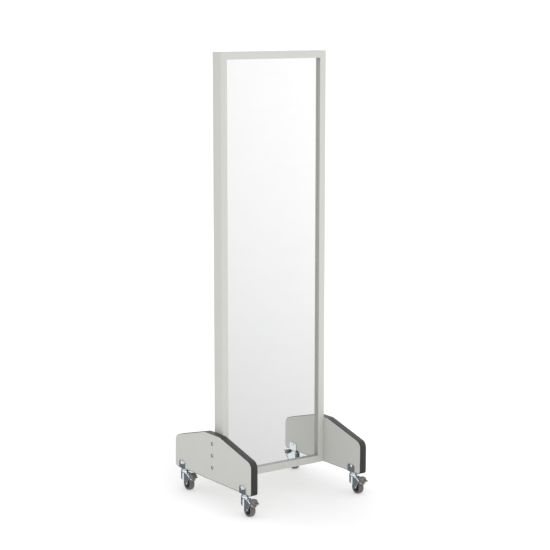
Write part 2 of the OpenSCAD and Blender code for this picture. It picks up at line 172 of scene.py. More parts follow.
def laminate(name, c):
    """Matt laminate with a fine pebbled press-plate texture."""
    g = Graph(name)
    pebble = g.cells(900.0)
    drift = g.noise(4.0, 3.0)
    speck = g.noise(2200.0, 2.0, 0.7)
    colour = g.ramp(drift, [(0.3, shade(c, 0.985)), (0.7, shade(c, 1.012))])
    colour = g.mix(0.5, colour, g.ramp(speck, [(0.3, shade(c, 0.95)), (0.7, shade(c, 1.03))]))
    rough_map = g.span(g.noise(90.0, 3.0), 0.3, 0.7, 0.46, 0.56)
    return g.out(colour, rough_map, g.bump(pebble, 0.22, 0.00012, g.bump(g.noise(25.0, 2.0), 0.05, 0.0006)))


def edging(name, c):
    """Plastic edging: satin, with faint drawn lines along its length and paler along its convex edges."""
    g = Graph(name, Specular_IOR_Level=0.5)
    lines = g.noise(700.0, 2.0, 0.5, g.stretch(6.0, 1.0, 1.0))
    colour = g.ramp(lines, [(0.3, shade(c, 0.9)), (0.7, shade(c, 1.12))])
    colour = g.mix(g.edges(0.53, 0.70), colour, shade(c, 1.7))
    rough_map = g.span(g.noise(120.0, 4.0), 0.3, 0.7, 0.36, 0.46)
    return g.out(colour, rough_map, g.bump(lines, 0.12, 0.00006, g.bump(g.noise(500.0, 3.0), 0.10, 0.00006)))


def metal(name, c, rough=0.07, grain=0.6):
    """Bright plated steel with fine rolling marks and faint clouding."""
    g = Graph(name, Metallic=1.0)
    cloud = g.noise(70.0, 4.0)
    marks = g.noise(900.0, 3.0, 0.6, g.stretch(1.0, 1.0, 0.22))
    colour = g.ramp(cloud, [(0.3, shade(c, 0.94)), (0.7, shade(c, 1.04))])
    rough_map = g.math("ADD", g.span(cloud, 0.3, 0.7, rough - 0.02, rough + 0.03), g.span(marks, 0.3, 0.8, -0.02, 0.05))
    return g.out(colour, rough_map, g.bump(marks, 0.06 * grain, 0.00005, g.bump(g.noise(180.0, 2.0), 0.05 * grain, 0.00012)))


def moulded(name, c, rough=0.45, scale=1500.0, grain=0.25, dust=0.0):
    """Moulded plastic or rubber with a fine spark-eroded grain."""
    g = Graph(name)
    pits = g.cells(scale)
    drift = g.noise(45.0, 4.0)
    colour = g.ramp(drift, [(0.3, shade(c, 0.90)), (0.7, shade(c, 1.10))])
    if dust:
        colour = g.mix(g.span(g.noise(160.0, 5.0, 0.7), 0.45, 0.75, 0.0, dust), colour, tuple(min(1.0, v + 0.10) for v in c))
    colour = g.mix(g.edges(0.54, 0.72), colour, shade(c, 1.25))
    rough_map = g.span(drift, 0.3, 0.7, rough - 0.06, rough + 0.06)
    return g.out(colour, rough_map, g.bump(pits, grain, 0.00010))


def timber(name, c, dark):
    """Planed softwood with long grain, for the beads inside the frame."""
    g = Graph(name)
    rings = g.noise(60.0, 4.0, 0.6, g.stretch(3.0, 3.0, 0.06), 0.6)
    fibre = g.noise(900.0, 3.0, 0.6, g.stretch(1.0, 1.0, 0.05))
    colour = g.mix(0.3, g.ramp(rings, [(0.3, dark), (0.65, c)]), g.ramp(fibre, [(0.3, dark), (0.7, c)]))
    return g.out(colour, g.span(fibre, 0.3, 0.7, 0.55, 0.75), g.bump(fibre, 0.25, 0.0001))


def fibreboard(name, c):
    g = Graph(name)
    fibre = g.noise(500.0, 6.0, 0.75)
    colour = g.ramp(fibre, [(0.3, shade(c, 0.7)), (0.7, shade(c, 1.25))])
    return g.out(colour, g.span(fibre, 0.3, 0.7, 0.65, 0.85), g.bump(fibre, 0.3, 0.00015))


def silvered(name):
    """The mirror: silvering seen through clear glass, with a trace of wiping haze."""
    g = Graph(name, Metallic=1.0, Roughness=0.0)
    haze = g.noise(7.0, 5.0, 0.6, g.stretch(1.0, 1.0, 2.5), 0.8)
    colour = g.ramp(haze, [(0.35, (0.905, 0.91, 0.907)), (0.75, (0.92, 0.923, 0.922))])
    return g.out(colour)


def foam(name, c):
    g = Graph(name)
    cells = g.cells(2500.0)
    return g.out(g.ramp(cells, [(0.1, shade(c, 0.5)), (0.6, shade(c, 1.3))]), g.span(cells, 0.0, 0.6, 0.7, 0.95), g.bump(cells, 0.5, 0.0002))


PAINT = (0.623, 0.623, 0.591)
BOARD = (0.60, 0.60, 0.573)
M = {
    "painted_board": painted("satin_paint", PAINT),
    # The two reveal paints are the frame paint darkened: painted shade for the recess beside the glass, a little less
    # on the bottom rail.
    "reveal": painted("satin_paint_reveal_painted_shade", shade(PAINT, 0.67)),
    "reveal_low": painted("satin_paint_lower_reveal_painted_shade", shade(PAINT, 0.715)),
    "panel_laminate": laminate("matt_laminate", BOARD),
    "edge_band": edging("anthracite_edging", (0.0195, 0.0195, 0.0195)),
    "mirror": silvered("silvered_glass"),
    "foam": foam("foam_tape", (0.05, 0.05, 0.05)),
    "fibreboard": fibreboard("raw_fibreboard", (0.27, 0.16, 0.09)),
    "raw_wood": timber("planed_softwood", (0.60, 0.42, 0.22), (0.42, 0.26, 0.12)),
    "zinc_steel": metal("bright_zinc", (0.74, 0.80, 0.83)),
    "dull_zinc": metal("dull_zinc", (0.50, 0.52, 0.53), 0.34),
    # Near-black metal for the cups round the panel screws: painted shade standing in for the shadow in their recesses.
    "bolt_recess_shade": metal("painted_shade_dark_steel", (0.05, 0.055, 0.06), 0.30),
    # The thumb tab is the pedal plastic made much darker: painted shade for the dark surround it sits in.
    "pedal_tab": moulded("pedal_plastic_painted_shade", (0.085, 0.080, 0.073), 0.48, 1300.0, 0.3),
    "brass": metal("turned_brass", (0.72, 0.55, 0.24), 0.2),
    "tyre_rubber": moulded("warm_grey_rubber", (0.147, 0.131, 0.126), 0.62, 1800.0, 0.3, 0.12),
    "hub_plastic": moulded("dark_hub_plastic", (0.060, 0.052, 0.052), 0.42),
    "pedal_plastic": moulded("grey_pedal_plastic", (0.180, 0.170, 0.153), 0.48, 1300.0, 0.3),
}

SLOTS = {s["node"]: s["material_slot"] for s in frame["record"]["subparts"]}
for name, obj in NODES.items():
    obj.data.materials.clear()
    obj.data.materials.append(M[SLOTS[name]])

# ------------------------------------------------------------------ built pieces
# Lengths in the shape code are millimetres.

RECORD = frame["record"]
SWIVEL = {j["name"][:2]: j["pos_m"] for j in RECORD["behaviour"]["joints"] if j["name"].endswith("swivel_turn")}
Z0 = 82.5
TRAIL, AXLE_Z = 22.5, -57.5
FRAME_Y = RECORD["mounts"][0]["pos_m"][1] / MM - 27.5
FOOT_Y = FRAME_Y + 29.0
HW, H = 237.5, 1600.0
FOOT_X = 251.75


def build(name, verts, faces, mats, at=(0, 0, 0), face_mats=None, closed=True, angle=38, weld=0.0):
    """A mesh object from points in millimetres, placed at a point in metres."""
    bm = bmesh.new()
    points = [bm.verts.new([c * MM for c in v]) for v in verts]
    for i, f in enumerate(faces):
        ring = []
        for k in f:
            if points[k] not in ring:
                ring.append(points[k])
        if len(ring) > 2:
            face = bm.faces.new(ring)
            face.smooth = True
            if face_mats:
                face.material_index = face_mats[i]
    bmesh.ops.remove_doubles(bm, verts=bm.verts, dist=max(weld, 0.002) * MM)
    bmesh.ops.dissolve_degenerate(bm, dist=0.001 * MM, edges=bm.edges)
    if closed:
        bmesh.ops.recalc_face_normals(bm, faces=bm.faces)
    mesh = bpy.data.meshes.new(name)
    bm.to_mesh(mesh)
    bm.free()
    for m in mats:
        mesh.materials.append(m)
    mesh.set_sharp_from_angle(angle=math.radians(angle))
    obj = bpy.data.objects.new(name, mesh)
    obj.location = at
    bpy.context.scene.collection.objects.link(obj)
    return obj


def soften(obj, width, segments=2, angle=32):
    m = obj.modifiers.new("edges", "BEVEL")
    m.width = width * MM
    m.segments = segments
    m.limit_method = "ANGLE"
    m.angle_limit = math.radians(angle)
    m.use_clamp_overlap = True
    n = obj.modifiers.new("normals", "WEIGHTED_NORMAL")
    n.keep_sharp = True
    return obj


def thicken(obj, t):
    m = obj.modifiers.new("sheet", "SOLIDIFY")
    m.thickness = t * MM
    m.offset = -1
    m.use_even_offset = False
    m.use_quality_normals = True
    return obj


def face_out(obj, towards):
    """Turns an open sheet's faces away from a point or line: towards(centre) is the outward direction."""
    if sum(p.normal.dot(Vector(towards(p.center))) * p.area for p in obj.data.polygons) < 0:
        obj.data.flip_normals()
    return obj


def settle(obj, body, slot, *nodes):
    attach(obj, body)
    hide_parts(*nodes)
    return obj


def arc(c, r, a1, a2, n):
    return [(c[0] + r * math.cos(math.radians(a1 + (a2 - a1) * i / n)), c[1] + r * math.sin(math.radians(a1 + (a2 - a1) * i / n))) for i in range(n + 1)]


def loft(rings, caps=True, wrap=True):
    """Faces between rings of equally many points."""
    n = len(rings[0])
    verts = [p for r in rings for p in r]
    faces = []
    for i in range(len(rings) - 1):
        for j in range(n if wrap else n - 1):
            k = (j + 1) % n
            faces.append((i * n + j, i * n + k, (i + 1) * n + k, (i + 1) * n + j))
    if caps:
        faces.append(tuple(range(n)))
        faces.append(tuple((len(rings) - 1) * n + j for j in range(n)))
    return verts, faces


def lathe(profile, c, n=96):
    """A closed profile of (radius, x) turned about a line along X through c = (y, z)."""
    rings = []
    for i in range(n):
        a = 2 * math.pi * i / n
        rings.append([(x, c[0] + r * math.cos(a), c[1] + r * math.sin(a)) for r, x in profile])
    m = len(profile)
    verts = [p for r in rings for p in r]
    faces = [(i * m + j, i * m + (j + 1) % m, ((i + 1) % n) * m + (j + 1) % m, ((i + 1) % n) * m + j) for i in range(n) for j in range(m)]
    return verts, faces


def prism(outline, x1, x2):
    """A (y, z) outline made solid from x1 to x2."""
    return loft([[(x1, y, z) for y, z in outline], [(x2, y, z) for y, z in outline]])


def interp(table, t):
    """Smooth value at t from rising (t, value) pairs."""
    if t <= table[0][0]:
        return table[0][1]
    for (a, va), (b, vb) in zip(table, table[1:]):
        if t <= b:
            return va + (vb - va) * (t - a) / (b - a)
    return table[-1][1]


# ---- frame rails, mitred at the corners


def rail_section():
    """Outline of a rail as (inwards, back), with 1 for the parts that face the glass."""
    pts = [(p, 0) for p in arc((1.5, 1.5), 1.5, 180, 270, 6)]
    pts += [(p, 0) for p in arc((25.5, 1.5), 1.5, 270, 315, 3)]
    pts += [(p, 1) for p in arc((25.5, 1.5), 1.5, 330, 360, 2)]
    pts += [(p, 1) for p in arc((26.4, 13.2), 0.6, 0, 90, 3)]
    pts += [((15.0, 13.8), 0)]
    pts += [(p, 0) for p in arc((14.4, 54.4), 0.6, 0, 90, 3)]
    pts += [(p, 0) for p in arc((1.5, 53.5), 1.5, 90, 180, 6)]
    return pts


def frame_rails():
    section = rail_section()
    # Faces next to the glass take the second material, the darkened paint that is painted shade in the recess.
    tone = [max(section[i][1], section[(i + 1) % len(section)][1]) if section[i][1] else 0 for i in range(len(section))]
    shapes = {
        "left_stile": lambda a, d, e: (-HW + a, FRAME_Y + d, Z0 + (a if e == 0 else H - a)),
        "right_stile": lambda a, d, e: (HW - a, FRAME_Y + d, Z0 + (a if e == 0 else H - a)),
        "bottom_rail": lambda a, d, e: ((-HW + a if e == 0 else HW - a), FRAME_Y + d, Z0 + a),
        "top_rail": lambda a, d, e: ((-HW + a if e == 0 else HW - a), FRAME_Y + d, Z0 + H - a),
    }
    for node, place in shapes.items():
        rings = [[place(a, d, e) for (a, d), _ in section] for e in (0, 1)]
        verts, faces = loft(rings)
        inner = RAIL_INNER[node]
        obj = build(node + "_moulding", verts, faces, [RAIL_FACE[node], inner], face_mats=tone + [0, 0])
        settle(obj, "root", "painted_board", node)


RAIL_FACE = {n: M["painted_board"] for n in ("left_stile", "right_stile", "top_rail", "bottom_rail")}
# The inner faces beside the glass use the darkened paints: painted shade in the recess, a little less on the bottom
# rail.
RAIL_INNER = {n: M["reveal"] for n in ("left_stile", "right_stile", "top_rail")}
RAIL_INNER["bottom_rail"] = M["reveal_low"]

# ---- edge bands round the side panels


def foot_outline(d):
    """Outline of a side panel as (back, up) from its lower middle, drawn d further in."""
    pts = [(-259.5, 0), (259.5, 0), (259.5, 123), (52, 179), (-52, 179), (-259.5, 123)]
    radii = [12, 12, 28, 60, 60, 28]
    out = []
    for i, (p, r) in enumerate(zip(pts, radii)):
        p = Vector(p)
        u = (Vector(pts[i - 1]) - p).normalized()
        w = (Vector(pts[(i + 1) % len(pts)]) - p).normalized()
        m = (u + w).normalized()
        s = abs(u.x * m.y - u.y * m.x)
        c = p + m * (r / s)
        t1 = p + u * (r * math.sqrt(1 - s * s) / s) - c
        t2 = p + w * (r * math.sqrt(1 - s * s) / s) - c
        a1, a2 = math.atan2(t1.y, t1.x), math.atan2(t2.y, t2.x)
        if a2 < a1:
            a2 += 2 * math.pi
        for k in range(17):
            a = a1 + (a2 - a1) * k / 16
            out.append((c.x + (r - d) * math.cos(a), c.y + (r - d) * math.sin(a)))
    return out


def edge_bands():
    w = 14.25
    lip = [(1.0, w), (0.55, w), (0.25, w - 0.12), (0.06, w - 0.35), (0.0, w - 0.7)]
    ring = lip + [(d, -x) for d, x in reversed(lip)]
    for side, s in (("left", -1), ("right", 1)):
        rings = [[(s * FOOT_X + x, FOOT_Y + y, Z0 + z) for y, z in foot_outline(d)] for d, x in ring]
        # along the lower edge the strip is turned a little way over the board's faces
        turned = [(y, z) for y, z in foot_outline(1.9)]
        for k, x in ((0, w + 0.06), (-1, -w - 0.06)):
            rings[k] = [(s * FOOT_X + x, FOOT_Y + y, Z0 + z) if z < 24.0 else q for (y, z), q in zip(turned, rings[k])]
            j = 1 if k == 0 else -2
            rings[j] = [(q[0] + (x - ring[j][1]), q[1], q[2]) if q[2] - Z0 < 24.0 else q for q in rings[j]]
        rings.append(rings[0])
        verts, faces = loft(rings, caps=False)
        obj = build(side + "_edge_strip", verts, faces, [M["edge_band"]])
        settle(obj, "root", "edge_band", side + "_edge_band")


# ---- brackets: a strip bent to a U, with rounded upper corners


def brackets():
    w, t, half = 14.25, 2.5, 21.5
    c = 8.5
    path = [(-(w + t), 29.0 - c * (1 - math.cos(math.radians(a))), half - c + c * math.sin(math.radians(a))) for a in range(0, 91, 10)]
    r = 3.6
    path += [(-(w + t), z, half) for z in (12.0, 4.0)]
    path += [(x, z, half) for x, z in arc((-(w + t) + r, -t + r), r, 180, 270, 7)]
    path += [(0.0, -t, half)]
    path += [(-x, z, h) for x, z, h in reversed(path[:-1])]
    rings = [[(x, y, z) for y in (-h, -h * 0.6, 0.0, h * 0.6, h)] for x, z, h in path]
    verts, faces = loft(rings, caps=False, wrap=False)
    for c, (x, y, _) in SWIVEL.items():
        obj = build("bracket_" + c, verts, faces, [M["zinc_steel"]], (x, y, Z0 * MM), closed=False, angle=60)
        face_out(obj, lambda q: (q.x, 0, q.z - 0.015))
        thicken(obj, t)
        soften(obj, 0.35)
        settle(obj, "root", "zinc_steel", "caster_brackets")


# ---- forks: pressed from one sheet, round at the back and flat at the sides

BROW = [(-43.5, -28.4), (-40.2, -25.7), (-35.6, -22.9), (-31.1, -20.3), (-25.2, -17.9), (-20.0, -16.6), (-15.2, -15.6), (-11.0, -13.5), (-7.5, -10.0), (-5.9, -8.6), (-2.0, -8.0), (30.0, -8.0)]
HEM = [(-43.5, -30.4), (-42.9, -31.6), (-41.5, -33.5), (-37.5, -39.0), (-33.5, -44.5), (-30.6, -50.0), (-28.3, -54.5), (-28.0, -58.7), (-26.5, -62.3), (-23.4, -65.1),
       (-19.0, -66.0), (-14.0, -64.9), (-9.5, -61.8), (-6.9, -57.0), (-6.0, -52.0), (-4.0, -48.8), (-2.0, -47.8), (5.0, -45.6), (11.0, -41.5), (16.0, -36.0), (19.5, -32.5)]


def fork_stations():
    """Right-hand half of the sheet's outer line: (x, y, inward x, inward y), from the back to the nose."""
    out = []
    for i in range(19):
        a = math.radians(90 - i * 3)
        out.append((19.3 * math.cos(a), 19.3 * math.sin(a), -math.cos(a), -math.sin(a)))
    out += [(16.2, 10.2, -0.9, -0.43), (16.5, 8.8, -0.97, -0.25), (16.6, 7.0, -1.0, 0.0), (16.6, 1.5, -1.0, 0.0), (16.6, -0.2, -1.0, 0.0), (16.45, -0.7, -0.93, 0.36),
            (15.7, -2.0, -0.87, 0.5), (14.3, -4.4, -0.87, 0.5), (13.65, -5.45, -0.93, 0.36), (13.5, -5.9, -1.0, 0.0), (13.5, -7.0, -1.0, 0.0)]
    y = -8.0
    while y > -42.5:
        out.append((13.5, y, -1.0, 0.0))
        y -= 1.9
    out += [(13.5, -42.9, -1.0, 0.0), (13.4, -43.5, -1.0, 0.0)]
    return out


def fork_mesh():
    stations = fork_stations()
    columns = []
    for x, y, nx, ny in stations:
        top, hem = interp(BROW, y), interp(HEM, y)
        leg = y < -5.6
        # A leg's flange is wide behind and narrows to let the pedal pass
        reach = interp([(-43.5, 4.0), (-39.5, 4.0), (-35.0, 6.0)], y) if leg else 5.0
        roll = min(reach, 4.0) if leg else 5.0
        r = min(6.4 if leg else 5.2, max(0.6, (top - hem) * 0.8))
        col = [(x + nx * reach, y + ny * reach, top)]
        for k in range(9):
            a = math.radians(90 - k * 90 / 8)
            d = roll * (1 - math.cos(a))
            col.append((x + nx * (min(d, reach - 0.02) if k == 0 else d), y + ny * d, top - r + r * math.sin(a)))
        rows = 7
        for k in range(1, rows + 1):
            col.append((x, y, (top - r) + (hem - top + r) * k / rows))
        columns.append(col)
    m = len(columns[0])
    verts, faces = [], []
    for s in (1, -1):
        base = len(verts)
        for col in columns:
            verts += [(s * p[0], p[1], p[2]) for p in col]
        for i in range(len(columns) - 1):
            for j in range(m - 1):
                a, b = base + i * m + j, base + (i + 1) * m + j
                f = (a, b, b + 1, a + 1)
                faces.append(f if s > 0 else tuple(reversed(f)))
    # The flat top runs across between the two halves as far forward as the crown's front edge
    half = len(columns) * m
    last = max(i for i, st in enumerate(stations) if st[1] > -16.4)
    across = 6
    for i in range(last + 1):
        a, b = verts[i * m], verts[half + i * m]
        start = len(verts)
        for k in range(across + 1):
            f = k / across
            z = a[2] + (0.0 if i < last else 0.0)
            verts.append((a[0] + (b[0] - a[0]) * f, a[1], z))
        if i:
            for k in range(across):
                p, q = start - across - 1 + k, start + k
                faces.append((p, p + 1, q + 1, q))
    return verts, faces


def forks():
    verts, faces = fork_mesh()
    for c, (x, y, _) in SWIVEL.items():
        obj = build(c + "_fork_pressing", verts, faces, [M["zinc_steel"]], (x, y, Z0 * MM), closed=False, angle=70, weld=0.02)
        bm = bmesh.new()
        bm.from_mesh(obj.data)
        bmesh.ops.recalc_face_normals(bm, faces=bm.faces)
        bm.to_mesh(obj.data)
        bm.free()
        face_out(obj, lambda q: (q.x, 0, q.z + 0.05))
        thicken(obj, 1.9)
        soften(obj, 0.45, angle=50)
        settle(obj, c + "_swivel", "zinc_steel", c + "_fork")
        # The crown's round top and its lip, which stands a little proud of the flat legs
        n = 96
        rings = []
        top = [(0.0, -7.95), (14.4, -7.95)] + arc((14.4, -13.2), 5.25, 84, 6, 8) + [(19.65, -14.0)]
        under = list(reversed(arc((14.4, -13.2), 3.5, 10, 80, 6))) + [(14.0, -9.7), (0.0, -9.7)]
        for i in range(n):
            a = 2 * math.pi * i / n
            low = 1.4 + 3.0 * interp([(-11.0, 0.0), (-6.0, 0.5), (-3.0, 1.0)], 19.0 * math.sin(a))
            # Between the legs it turns straight down
            front = interp([(9.5, 1.0), (11.5, 0.0)], abs(19.6 * math.cos(a))) if math.sin(a) < 0 else 0.0
            low += 2.6 * front
            taper = 1.9 - 1.7 * front
            lip = [(19.6 - taper * k / 4, -14.8 - low * k / 4) for k in range(5)] + [(19.2 - taper, -14.7 - low * 0.95), (17.5, -14.4)]
            rings.append([(r * math.cos(a), r * math.sin(a), z) for r, z in top + lip + list(reversed(under[:7])) + under[7:]])
        rings.append(rings[0])
        v, f = loft(rings, caps=False, wrap=False)
        crown = build(c + "_fork_crown", v, f, [M["zinc_steel"]], (x, y, Z0 * MM), angle=60)
        settle(crown, c + "_swivel", "zinc_steel", c + "_fork")
        # Raised ring that carries the balls
        ring = [(0.0, -9.6), (14.2, -9.6), (15.2, -8.2), (15.0, -7.0), (14.3, -6.3), (13.4, -6.1), (0.0, -6.1)]
        n = 64
        rings = [[(r * math.cos(2 * math.pi * i / n), r * math.sin(2 * math.pi * i / n), z) for i in range(n)] for r, z in ring]
        v, f = loft(rings, caps=False)
        seat = build(c + "_ball_seat", v, f, [M["zinc_steel"]], (x, y, Z0 * MM))
        settle(seat, c + "_swivel", "zinc_steel", c + "_fork")


def leg_hems():
    """Rolled edge down the front of each fork leg, flush with both faces of the sheet."""
    line = [(-42.9, -31.4), (-41.5, -33.5), (-39.5, -36.2), (-37.5, -39.0), (-35.5, -41.7), (-33.5, -44.6), (-32.0, -47.3), (-30.6, -50.0), (-29.3, -52.4), (-28.4, -54.8), (-28.0, -57.0), (-27.8, -59.0)]
    n = 16
    for c, (x, y, _) in SWIVEL.items():
        for side, s in (("left", -1), ("right", 1)):
            rings = []
            for i, (b, z) in enumerate(line):
                ahead, behind = line[min(i + 1, len(line) - 1)], line[max(i - 1, 0)]
                u = Vector((ahead[0] - behind[0], ahead[1] - behind[1])).normalized()
                out = Vector((u.y, -u.x))
                r = 0.95 * interp([(0, 0.35), (1, 0.9), (2, 1.0), (9, 1.0), (10, 0.9), (11, 0.35)], i)
                m = Vector((b, z)) - out * 0.45
                rings.append([(s * 12.55 + r * math.cos(2 * math.pi * k / n), m.x + out.x * r * math.sin(2 * math.pi * k / n), m.y + out.y * r * math.sin(2 * math.pi * k / n)) for k in range(n)])
            v, f = loft(rings)
            obj = build(c + "_leg_hem_" + side, v, f, [M["zinc_steel"]], (x, y, Z0 * MM), angle=60)
            settle(obj, c + "_swivel", "zinc_steel", c + "_fork")


# ---- wheels


def wheels():
    shoulder = arc((22.2, 7.45), 2.8, 90, 20, 6)
    tread = [(24.90, 8.30), (24.97, 6.0), (25.0, 3.0), (25.0, 0.0)]
    side = [(18.3, 9.3), (18.9, 9.75), (20.0, 9.95), (20.3, 10.1), (20.6, 10.22)]
    half = side + shoulder + tread
    tyre = half + [(r, -x) for r, x in reversed(half[:-1])]
    hub_half = [(4.05, 9.0), (6.9, 9.1), (7.4, 8.9), (7.7, 8.4), (8.2, 4.0), (8.7, 3.4), (12.0, 3.1), (14.2, 3.5), (14.8, 4.2), (15.3, 8.0), (15.7, 8.6), (16.3, 8.9),
                (17.6, 8.9), (18.1, 8.6), (18.3, 8.2)]
    hub = hub_half + [(r, -x) for r, x in reversed(hub_half)]
    for c, (x, y, _) in SWIVEL.items():
        at = (x, y - TRAIL * MM, (Z0 + AXLE_Z) * MM)
        v, f = lathe(tyre, (0, 0), 128)
        obj = build(c + "_tread", v, f, [M["tyre_rubber"]], at, angle=30)
        settle(obj, c + "_wheel", "tyre_rubber", c + "_tyre")
        v, f = lathe(hub, (0, 0), 96)
        obj = build(c + "_wheel_centre", v, f, [M["hub_plastic"]], at, angle=30)
        settle(obj, c + "_wheel", "hub_plastic", c + "_hub")
        # Ribs between the boss and the rim, on both sides
        verts, faces = [], []
        for k in range(6):
            a = math.radians(60 * k + 20)
            u, w = (math.cos(a), math.sin(a)), (-math.sin(a), math.cos(a))
            for s in (1, -1):
                low, high = [], []
                for r, t, h in ((7.6, 1.0, 7.6), (11.0, 0.8, 6.4), (15.2, 1.0, 7.4)):
                    low.append((r, t, 2.6))
                    high.append((r, t, h))
                rings = []
                for (r, t, h0), (_, _, h1) in zip(low, high):
                    rings.append([(s * hh, u[0] * r + w[0] * tt, u[1] * r + w[1] * tt) for tt, hh in ((-t, h0), (t, h0), (t * 0.7, h1), (-t * 0.7, h1))])
                v, f = loft(rings)
                base = len(verts)
                verts += v
                faces += [tuple(base + i for i in q) for q in f]
        ribs = build(c + "_hub_ribs", verts, faces, [M["hub_plastic"]], at, angle=30)
        soften(ribs, 0.25, 1)
        settle(ribs, c + "_wheel", "hub_plastic", c + "_hub")


# ---- brake pedals: rounded hood, thumb tab and shoe

HOOD = [  # y, half width, top, bottom, radius of the upper edges
    (-39.0, 8.0, -14.4, -24.0, 3.0), (-39.6, 8.6, -13.2, -25.2, 3.6), (-41.0, 8.9, -12.2, -26.4, 4.0), (-43.5, 9.0, -11.6, -27.2, 4.2), (-46.6, 9.05, -11.4, -27.4, 4.2),
    (-47.4, 9.8, -11.4, -27.4, 4.2), (-48.2, 10.8, -11.4, -27.4, 4.2), (-49.4, 11.4, -11.5, -27.5, 4.2), (-51.5, 11.7, -11.7, -27.6, 4.3), (-53.5, 11.8, -12.2, -27.8, 4.4),
    (-55.5, 11.8, -12.9, -28.2, 4.6), (-57.5, 11.8, -14.0, -28.8, 5.0), (-59.2, 11.7, -15.5, -29.4, 5.0), (-60.7, 11.5, -17.6, -30.0, 4.8), (-61.9, 11.1, -20.2, -30.2, 3.8),
    (-62.7, 10.4, -23.0, -29.8, 2.4), (-62.9, 9.6, -24.6, -29.2, 1.6)]


def rounded_ring(y, w, top, bottom, r, low=1.3):
    r = min(r, w * 0.98, (top - bottom) * 0.6)
    low = min(low, (top - bottom) * 0.3)
    pts = arc((-w + r, top - r), r, 180, 90, 9) + arc((w - r, top - r), r, 90, 0, 9)
    pts += arc((w - low, bottom + low), low, 0, -90, 4) + arc((-w + low, bottom + low), low, 270, 180, 4)
    return [(x, y, z) for x, z in pts]


def pedals():
    tab = [(-56.0, 4.0, -19.2, -21.6, 1.0), (-62.0, 3.9, -19.3, -21.4, 1.0), (-70.0, 3.8, -19.6, -21.5, 0.9), (-76.0, 3.8, -20.0, -21.9, 0.9), (-79.5, 3.7, -20.3, -22.3, 0.9),
           (-81.0, 3.3, -20.6, -22.5, 0.9), (-81.7, 2.6, -20.9, -22.5, 0.7), (-82.0, 1.8, -21.2, -22.4, 0.5)]
    shoe = [(-51.3, -42.8), (-50.9, -43.5), (-49.9, -44.1), (-49.2, -43.9)] + list(reversed(arc((-TRAIL, AXLE_Z), 28.6, 140.3, 147.5, 5))) + [(-44.5, -32.1), (-53.0, -34.3)]
    neck = [(-53.0, -35.3), (-45.0, -34.8), (-45.0, -28.2), (-53.0, -28.6)]
    for c, (x, y, _) in SWIVEL.items():
        at = (x, y, Z0 * MM)
        v, f = loft([rounded_ring(*row) for row in HOOD])
        hood = build(c + "_pedal_hood", v, f, [M["pedal_plastic"]], at, angle=50)
        settle(hood, c + "_brake", "pedal_plastic", c + "_brake_pedal")
        v, f = loft([rounded_ring(*row, low=0.8) for row in tab])
        obj = build(c + "_pedal_tab", v, f, [M["pedal_tab"]], at, angle=50)
        settle(obj, c + "_brake", "pedal_plastic", c + "_brake_pedal")
        v, f = prism(shoe, -8.4, 10.0)
        obj = soften(build(c + "_brake_shoe", v, f, [M["pedal_plastic"]], at, angle=30), 0.4)
        settle(obj, c + "_brake", "pedal_plastic", c + "_brake_pedal")
        v, f = prism(neck, -6.0, 6.0)
        obj = soften(build(c + "_shoe_stem", v, f, [M["pedal_plastic"]], at, angle=30), 0.4)
        settle(obj, c + "_brake", "pedal_plastic", c + "_brake_pedal")


# ---- brake levers: two cheeks beside the wheel and a plate with rolled edges under the hood


def levers():
    cheek = [(-24.6, -25.6), (-24.4, -23.4), (-25.6, -22.1), (-27.6, -21.7), (-30.2, -22.9), (-35.6, -26.0), (-40.0, -28.8), (-43.5, -31.0), (-46.8, -31.4), (-52.0, -31.9),
             (-52.0, -33.4), (-46.0, -34.2), (-38.0, -31.4), (-31.0, -27.6), (-27.4, -26.7)]
    plate = []
    for y, z, w, drop in ((-42.3, -29.9, 8.6, 0.4), (-44.8, -30.5, 8.8, 0.5), (-46.6, -30.9, 11.0, 1.4), (-47.6, -31.1, 12.2, 3.2), (-49.2, -31.4, 13.0, 4.8), (-51.5, -31.9, 13.3, 5.0),
                          (-54.0, -32.4, 13.2, 4.4), (-56.5, -32.9, 12.6, 3.4), (-58.6, -33.4, 11.4, 2.4), (-60.0, -33.9, 9.6, 1.4), (-60.6, -34.1, 7.6, 0.7)):
        row = []
        for k in range(-10, 11):
            f = k / 10
            row.append((w * f, y, z + 0.6 - drop * max(0.0, (abs(f) - 0.55) / 0.45) ** 2))
        plate.append(row)
    for c, (x, y, _) in SWIVEL.items():
        at = (x, y, Z0 * MM)
        for side, x1, x2 in (("left", -10.6, -9.1), ("right", 9.1, 10.6)):
            v, f = prism(cheek, x1, x2)
            obj = soften(build(c + "_lever_" + side, v, f, [M["zinc_steel"]], at, angle=30), 0.3)
            settle(obj, c + "_brake", "zinc_steel", c + "_brake_lever")
        v, f = loft(plate, caps=False, wrap=False)
        obj = build(c + "_lever_plate", v, f, [M["dull_zinc"]], at, closed=False, angle=60)
        face_out(obj, lambda q: (0, 0, 1))
        thicken(obj, 1.4)
        soften(obj, 0.25)
        settle(obj, c + "_brake", "zinc_steel", c + "_brake_lever")


# ---- axles, pivot rivets and cap nuts


def hexagon(r, x1, x2, chamfer):
    """A hexagon nut along X with its outer corners turned down."""
    rings = []
    s = 1 if x2 > x1 else -1
    for x, k in ((x1, 0.0), (x2 - s * chamfer, 0.0), (x2 - s * chamfer * 0.4, chamfer * 0.75), (x2, chamfer * 1.5)):
        rings.append([(x, (r - k) * math.cos(math.radians(60 * i + 30)), (r - k) * math.sin(math.radians(60 * i + 30))) for i in range(6)])
    return loft(rings)


